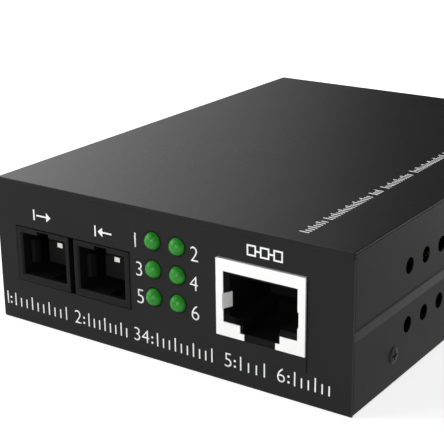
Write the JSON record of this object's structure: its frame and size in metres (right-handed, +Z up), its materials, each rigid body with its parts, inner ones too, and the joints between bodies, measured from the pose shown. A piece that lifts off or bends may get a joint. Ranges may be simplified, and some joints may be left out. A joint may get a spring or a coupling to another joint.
{
  "type": "fibre media converter",
  "caption": "Small dark folded-steel box that joins a twisted-pair network cable to a duplex fibre pair, with status lamps in front and a power inlet behind.",
  "frame": {"origin": "centre of the underside, midway between the front and the back of the case", "axes": "+X to the right seen from the front, +Y from the front panel to the rear panel, +Z up"},
  "size_m": [0.0708, 0.0952, 0.026],
  "materials": {
    "case_paint": "dark grey powder coat, satin, on folded steel sheet",
    "black_screw": "black zinc on a small pan-head screw",
    "jack_plating": "bright tin plate, smooth",
    "plated_steel": "nickel plate, fine grained",
    "tinned_lead": "tinned, dull bright",
    "gold_contact": "thin gold flash",
    "black_moulding": "black moulded plastic, fine spark texture",
    "sleeve_ceramic": "polished pale ceramic",
    "green_lamp": "tinted green, slightly cloudy resin, unlit",
    "board_laminate": "green solder mask over glass-fibre laminate",
    "chip_resin": "matt black moulding resin",
    "capacitor_sleeve": "shrunk dark blue sleeve over an aluminium can",
    "ferrite_grey": "dark grey ferrite, matt",
    "fuse_coating": "dipped yellow coating",
    "passive_body": "small tan ceramic bodies"
  },
  "bodies": {
    "root": {"base_tray": "case_paint", "board_screws": "plated_steel", "board_standoffs": "plated_steel", "can_leads": "gold_contact", "capacitor_leads": "tinned_lead", "capacitors": "capacitor_sleeve", "chip_passives": "passive_body", "circuit_board": "board_laminate", "crystal": "plated_steel", "fuse_disc": "fuse_coating", "fuse_leads": "tinned_lead", "jack_contacts": "gold_contact", "jack_insulator": "black_moulding", "jack_shield": "jack_plating", "lamp_1": "green_lamp", "lamp_2": "green_lamp", "lamp_3": "green_lamp", "lamp_4": "green_lamp", "lamp_5": "green_lamp", "lamp_6": "green_lamp", "lamp_holder": "black_moulding", "lamp_leads": "tinned_lead", "line_transformer": "chip_resin", "line_transformer_leads": "tinned_lead", "memory_chip": "chip_resin", "memory_chip_leads": "tinned_lead", "power_inductor": "ferrite_grey", "power_inlet_body": "black_moulding", "power_inlet_pin": "plated_steel", "power_inlet_spring": "plated_steel", "protection_diode": "chip_resin", "receive_latch": "black_moulding", "receive_sleeve": "sleeve_ceramic", "receiver_can": "plated_steel", "side_screws": "black_screw", "switch_chip": "chip_resin", "switch_chip_leads": "tinned_lead", "top_cover": "case_paint", "transceiver_board": "board_laminate", "transceiver_chips": "chip_resin", "transceiver_housing": "black_moulding", "transceiver_pins": "gold_contact", "transceiver_studs": "plated_steel", "transmit_latch": "black_moulding", "transmit_sleeve": "sleeve_ceramic", "transmitter_can": "plated_steel", "voltage_regulator": "chip_resin"}
  },
  "joints": []
}
